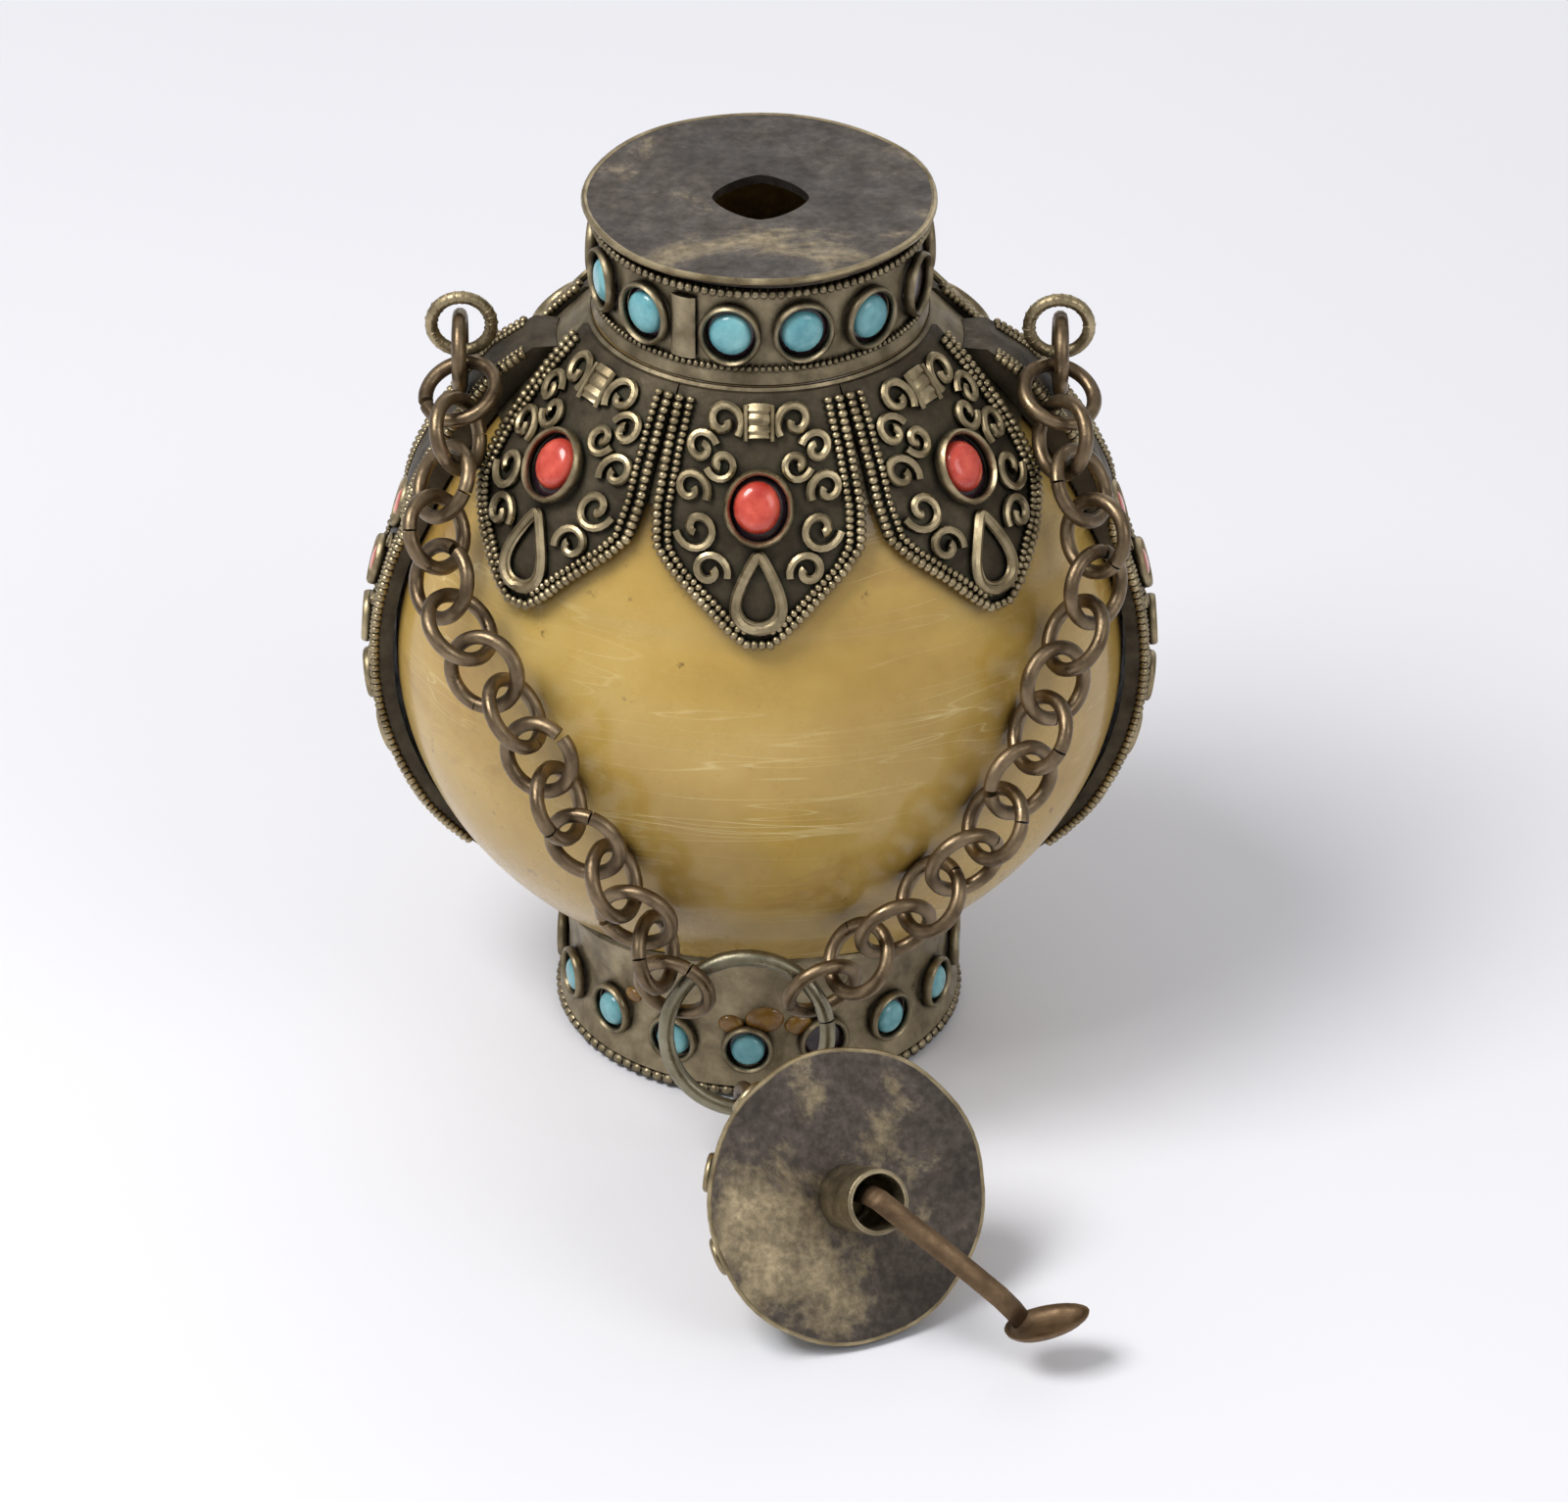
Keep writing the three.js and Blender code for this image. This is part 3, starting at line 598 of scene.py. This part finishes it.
def foot():
    form = Form()
    count = 120
    rows = []
    for i in range(count):
        a = 2 * math.pi * i / count
        out = Vector((math.sin(a), -math.cos(a), 0))
        top = min(FOOT_TOP, foot_edge(a, FOOT_R))
        inner = min(FOOT_TOP, foot_edge(a, FOOT_R - 1.3))
        row = [(13.8, 1.1), (FOOT_R, 1.1), (FOOT_R - 0.2, 2.0), (FOOT_R - 0.7, 3.4), (FOOT_R - 0.8, 6.0),
               (FOOT_R - 0.6, top - 1.6), (FOOT_R - 0.15, top - 0.3), (FOOT_R - 0.35, top),
               (FOOT_R - 1.3, inner - 0.1), (13.8, inner - 1.0)]
        rows.append([out * r + Vector((0, 0, z)) for r, z in row])
    form.grid([list(r) for r in zip(*rows)], closed_rows=True)
    jewels = Jewels("foot", "bottle", form)
    for i in range(16):
        a = math.radians(-3 + 22.5 * i)
        out = Vector((math.sin(a), -math.cos(a), 0))
        kind = None if i in (1,) else "blue"
        jewels.add(out * (FOOT_R - 0.75) + Vector((0, 0, 4.6 + random.uniform(-0.3, 0.3))), out,
                   1.6, kind, 1.06, 0.44, 0.85, (random.uniform(-0.15, 0.15), -0.1))
    jewels.done()
    pool = Form()
    for degrees, height, wide in ((2, 6.9, 1.5), (-8, 6.4, 1.0), (12, 6.2, 1.1), (-40, 6.8, 0.8)):
        a = math.radians(degrees)
        out = Vector((math.sin(a), -math.cos(a), 0))
        pool.dome(place_on(out * (FOOT_R - 0.85) + Vector((0, 0, height)), out), wide, 0.45, 0.8)
    pool.done("foot_lacquer", LACQUER, "bottle", "metal")
    form.done("foot_band", SILVER, "bottle", "metal", ("foot_wall",))

    base = Form()
    base.turned([(0.02, 0.0), (FOOT_R - 0.3, 0.0), (FOOT_R, 0.25), (FOOT_R, 0.75),
                 (FOOT_R - 0.3, 1.0), (0.02, 1.0)])
    ring = [Vector((math.sin(a), -math.cos(a), 0)) for a in (2 * math.pi * i / 90 for i in range(90))]
    line = [p * (FOOT_R - 0.12) + Vector((0, 0, 0.62)) for p in ring]
    base.string(line, 0.48, 0.95, closed=True, squash=1.05)
    base.done("foot_base", SILVER, "bottle", "metal", ("foot_plate",))


def ring_of(node):
    """Centre, axis and mean radius of a round node, from its own points."""
    co = np.array([v.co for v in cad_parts[node].data.vertices]) * 1000
    flat = co - co.mean(0)
    axis = Vector(np.linalg.svd(flat, full_matrices=False)[2][2])
    centre = Vector(co.mean(0))
    spans = [(Vector(c) - centre - axis * (Vector(c) - centre).dot(axis)).length for c in co]
    return centre, axis.normalized(), (min(spans) + max(spans)) / 2


def wire_loop(form, centre, axis, radius, wire, gap=0.0, start=0.0, around=44):
    place = place_on(centre, axis, axis.orthogonal())
    span = 2 * math.pi - gap
    count = around if not gap else around + 1
    line = []
    for i in range(count):
        a = start + span * i / around
        line.append(place @ Vector((radius * math.cos(a), radius * math.sin(a), 0)))
    form.tube(line, wire, 10, closed=not gap)


def links():
    for side in ("left", "right"):
        for i in range(1, LINKS_A_SIDE + 1):
            node = f"{side}_link_{i:02d}"
            centre, axis, radius = ring_of(node)
            form = Form()
            gap = 0.16 if i % 4 == 2 else 0.035
            wire_loop(form, centre, axis, radius * random.uniform(0.99, 1.0), LINK_WIRE, gap,
                      random.uniform(0, 6.28))
            form.done(f"{node}_wire", CHAIN, "chain", "metal", (node,))
    for i in (1, 2):
        centre, axis, radius = ring_of(f"cap_link_{i}")
        form = Form()
        wire_loop(form, centre, axis, radius, LINK_WIRE, 0.035, 1.0)
        form.done(f"cap_link_{i}_wire", CHAIN, "cap", "metal", (f"cap_link_{i}",))
    centre, axis, radius = ring_of("carry_ring")
    form = Form()
    wire_loop(form, centre, axis, radius, RING_WIRE, 0.02, 2.2, 90)
    form.done("carry_ring_wire", RING, "ring", "metal", ("carry_ring",))


def loops():
    for side in ("left", "right"):
        centre, axis, radius = ring_of(f"{side}_loop")
        form = Form()
        wire_loop(form, centre, axis, radius, 0.48)
        place = place_on(centre, axis, axis.orthogonal())
        line = [place @ Vector((radius * math.cos(a), radius * math.sin(a), 0))
                for a in (2 * math.pi * i / 60 for i in range(60))]
        form.string(line, 0.55, 0.55, closed=True, squash=0.45)
        form.done(f"{side}_loop_wire", WIRE, "bottle", "metal", (f"{side}_loop",))


def cap():
    up = Vector((0, 0, 1)) - CAP_AXIS * CAP_AXIS.z
    up.normalize()
    side = up.cross(CAP_AXIS)
    place = Matrix.Translation(CAP_CENTRE) @ Matrix((side, up, CAP_AXIS)).transposed().to_4x4()

    disc = Form()
    count = 120
    rings = []
    for r, z in ((1.75, -0.75), (1.75, -0.05), (3.0, -0.05), (5.0, -0.05), (7.0, -0.06), (9.0, -0.1),
                 (10.4, -0.14), (CAP_R - 0.12, -0.18), (CAP_R - 0.1, -0.62), (9.0, -0.75)):
        row = []
        for i in range(count):
            a = 2 * math.pi * i / count
            k = 1.0
            if r > 8:
                corner = abs(math.sin(4.5 * a + 0.5))
                k = 0.986 + 0.012 * corner
            lift = 0.16 * math.sin(2 * a + 0.9) * (r / CAP_R) ** 2 if r > 4 else 0.0
            dent = -0.3 * math.exp(-((a - 4.2) / 0.35) ** 2) * (r / CAP_R) ** 2 if r > 4 else 0.0
            row.append(place @ Vector((r * k * math.cos(a), r * k * math.sin(a), z + lift * 0.6 + dent)))
        rings.append(row)
    disc.grid(rings, closed_rows=True)
    disc.done("cap_disc", PLATE, "cap", "dark_metal", ("cap_plate",))
    edge = [a.lerp(b, 0.3) for a, b in zip(rings[7], rings[8])][::2]
    Form().tube(edge, 0.2, 8, closed=True).done("cap_rim", WIRE, "cap", "metal")

    dome = Form()
    deep = -DOME_H
    dome.turned([(0.02, deep - 1.5), (FINIAL_R * 0.6, deep - 1.3), (FINIAL_R * 0.9, deep - 0.5),
                 (FINIAL_R * 0.55, deep + 0.5), (2.6, deep + 1.1), (4.2, deep + 1.9), (6.2, deep + 3.5),
                 (7.8, deep + 4.6), (9.3, -3.7), (10.1, -2.5), (10.1, -0.95), (0.02, -0.95)], place)
    circle = [Vector((math.cos(a), math.sin(a), 0)) for a in (2 * math.pi * i / 80 for i in range(80))]
    for r, z, size in ((10.05, -1.1, 0.3), (9.25, -3.5, 0.3), (2.7, deep + 1.2, 0.3)):
        dome.string([place @ (p * r + Vector((0, 0, z))) for p in circle], size, size * 1.5, closed=True)
    jewels = Jewels("cap_dome", "cap", dome)
    for i in range(10):
        a = 2 * math.pi * (i + 0.35) / 10
        out = Vector((math.cos(a), math.sin(a), -0.5)).normalized()
        at = Vector((9.75 * math.cos(a), 9.75 * math.sin(a), -2.6))
        if (place @ (at + out * 0.7)).z < 1.2:
            continue
        facing = (place.to_3x3() @ out).normalized()
        jewels.add(place @ at, facing, 1.15, "blue" if i % 5 else None, 1.0, 0.34, 0.6)
    for i in range(6):
        a = 2 * math.pi * i / 6
        line = []
        for k in range(18):
            t = k / 17
            b = a + 0.28 * math.sin(t * math.pi)
            r = 7.4 - 4.6 * t
            line.append(place @ Vector((r * math.cos(b), r * math.sin(b), deep + 4.9 - 3.6 * t)))
        dome.tube(line, 0.24, 6)
    jewels.done()
    dome.done("cap_crown", WIRE, "cap", "metal", ("cap_dome",))

    tube = Form()
    tube.turned([(TUBE_R - 0.42, 0.05), (TUBE_R + 0.0, 0.05), (TUBE_R, TUBE_L - 0.08),
                 (TUBE_R - 0.1, TUBE_L), (TUBE_R - 0.34, TUBE_L), (TUBE_R - 0.42, TUBE_L - 0.1)], place, 64,
                lambda a, z: -0.03 * abs(math.sin(a + 0.4)))
    tube.done("cap_tube_sleeve", SILVER, "cap", "metal", ("cap_tube",))

    centre, axis, radius = ring_of("cap_loop")
    eye = Form()
    wire_loop(eye, centre, axis, radius, LINK_WIRE)
    eye.done("cap_eye", WIRE, "cap", "metal", ("cap_loop",))

    spoon = Form()
    turn = place @ Matrix.Rotation(math.radians(-52), 4, "Z")
    inside, over = TUBE_R - 0.8 - 0.4, TUBE_L + 0.5
    line = [(-inside + 0.3, 0.6), (-inside + 0.3, over - 1.6), (-inside + 0.5, over - 0.5),
            (-0.3, over + 0.25), (1.2, over + 0.5), (4.5, over + 1.1), (8.0, over + 1.75),
            (11.0, over + 2.0), (12.7, over + 1.5), (13.9, over + 0.7)]
    path = []
    for (x0, z0), (x1, z1) in zip(line, line[1:]):
        path += [(x0 + (x1 - x0) * k / 4, z0 + (z1 - z0) * k / 4) for k in range(4)]
    path.append(line[-1])
    points = [turn @ Vector((x, 0, z)) for x, z in path]
    normals = []
    for i in range(len(path)):
        x0, z0 = path[max(0, i - 1)]
        x1, z1 = path[min(len(path) - 1, i + 1)]
        normals.append(turn.to_3x3() @ Vector((-(z1 - z0), 0, x1 - x0)).normalized())
    spoon.tube(points, 0.82, 10, flat=0.34, normals=normals)
    tip = turn @ Vector((13.9, 0, over + 0.7))
    bowl = (Matrix.Translation(tip + Vector((1.6, -0.3, -0.45))) @ Matrix.Rotation(math.radians(8), 4, "Z")
            @ Matrix.Rotation(math.radians(-12), 4, "Y") @ Matrix.Rotation(math.radians(-6), 4, "X"))
    rows = []
    for long, wide, deep, order in ((3.2, 2.1, 1.0, range(7)), (2.95, 1.85, 0.75, range(6, -1, -1))):
        for j in order:
            lat = math.pi / 2 * j / 6
            rows.append([bowl @ Vector((long * math.cos(lat) * math.cos(a) * (1 + 0.12 * math.cos(a)),
                                        wide * math.cos(lat) * math.sin(a), 0.5 - deep * math.sin(lat)))
                         for a in (2 * math.pi * i / 28 for i in range(28))])
    spoon.grid(rows, closed_rows=True)
    spoon.done("spoon_blade", SPOON, "cap", "metal", ("spoon",))


collar()
bone()
for piece, neck_at, tip_at in (("petal_front", 0, 0), ("petal_back", 180, 180),
                               ("petal_front_left", -52, -43.5), ("petal_front_right", 52, 43.5),
                               ("petal_back_left", -128, -136.5), ("petal_back_right", 128, 136.5)):
    petal(piece, neck_at, tip_at)
side_band("side_band_left", -1)
side_band("side_band_right", 1)
neck()
foot()
links()
loops()
cap()


def backdrop():
    size = 1.5
    corners = [(-size, -size, 0), (size, -size, 0), (size, size, 0), (-size, size, 0)]
    mesh = bpy.data.meshes.new("floor")
    mesh.from_pydata(corners, [], [(0, 1, 2, 3)])
    m = material("floor", 0.0, 0.75)
    wire_in(m, "Base Color", ramp(m, noise(m, 3.0, 2.0), ((0.3, "dedee3"), (0.7, "e4e4e8"))))
    mesh.materials.append(m)
    o = bpy.data.objects.new("floor", mesh)
    o.location.z = -0.00005
    bpy.context.scene.collection.objects.link(o)


def lamp(name, where, energy, size, aim=(0, 0, 0.03)):
    data = bpy.data.lights.new(name, "AREA")
    data.energy = energy
    data.size = size
    o = bpy.data.objects.new(name, data)
    o.location = where
    o.rotation_mode = "QUATERNION"
    o.rotation_quaternion = (Vector(aim) - Vector(where)).to_track_quat("-Z", "Y")
    bpy.context.scene.collection.objects.link(o)


def camera():
    distance, elevation, roll = 0.550, math.radians(32.68), math.radians(0.25)
    pixels = 13.17 * 550
    data = bpy.data.cameras.new("camera")
    data.sensor_width = 36.0
    data.lens = pixels * 36.0 / 1600
    data.clip_start = 0.01
    ahead = Vector((0, math.cos(elevation), -math.sin(elevation)))
    right = Vector((1, 0, 0))
    up = right.cross(ahead)
    across = right * math.cos(roll) + up * math.sin(roll)
    above = up * math.cos(roll) - right * math.sin(roll)
    o = bpy.data.objects.new("camera", data)
    o.matrix_world = Matrix.Translation(Vector((0.00191, 0, 0.02185)) - ahead * distance) @ Matrix(
        (across, above, -ahead)).transposed().to_4x4()
    bpy.context.scene.collection.objects.link(o)
    bpy.context.scene.camera = o


backdrop()
for title, spot, watts, width in (("key", (-0.26, -0.16, 0.50), 2.7, 0.24),
                                  ("fill", (0.40, -0.35, 0.38), 0.7, 0.3),
                                  ("back", (0.10, 0.50, 0.35), 0.7, 0.5)):
    lamp(title, spot, watts, width)
world = bpy.data.worlds.new("world")
world.use_nodes = True
world.node_tree.nodes["Background"].inputs["Color"].default_value = (1.0, 1.0, 1.02, 1.0)
world.node_tree.nodes["Background"].inputs["Strength"].default_value = 0.46
bpy.context.scene.world = world
bpy.context.scene.view_settings.view_transform = "Standard"
camera()
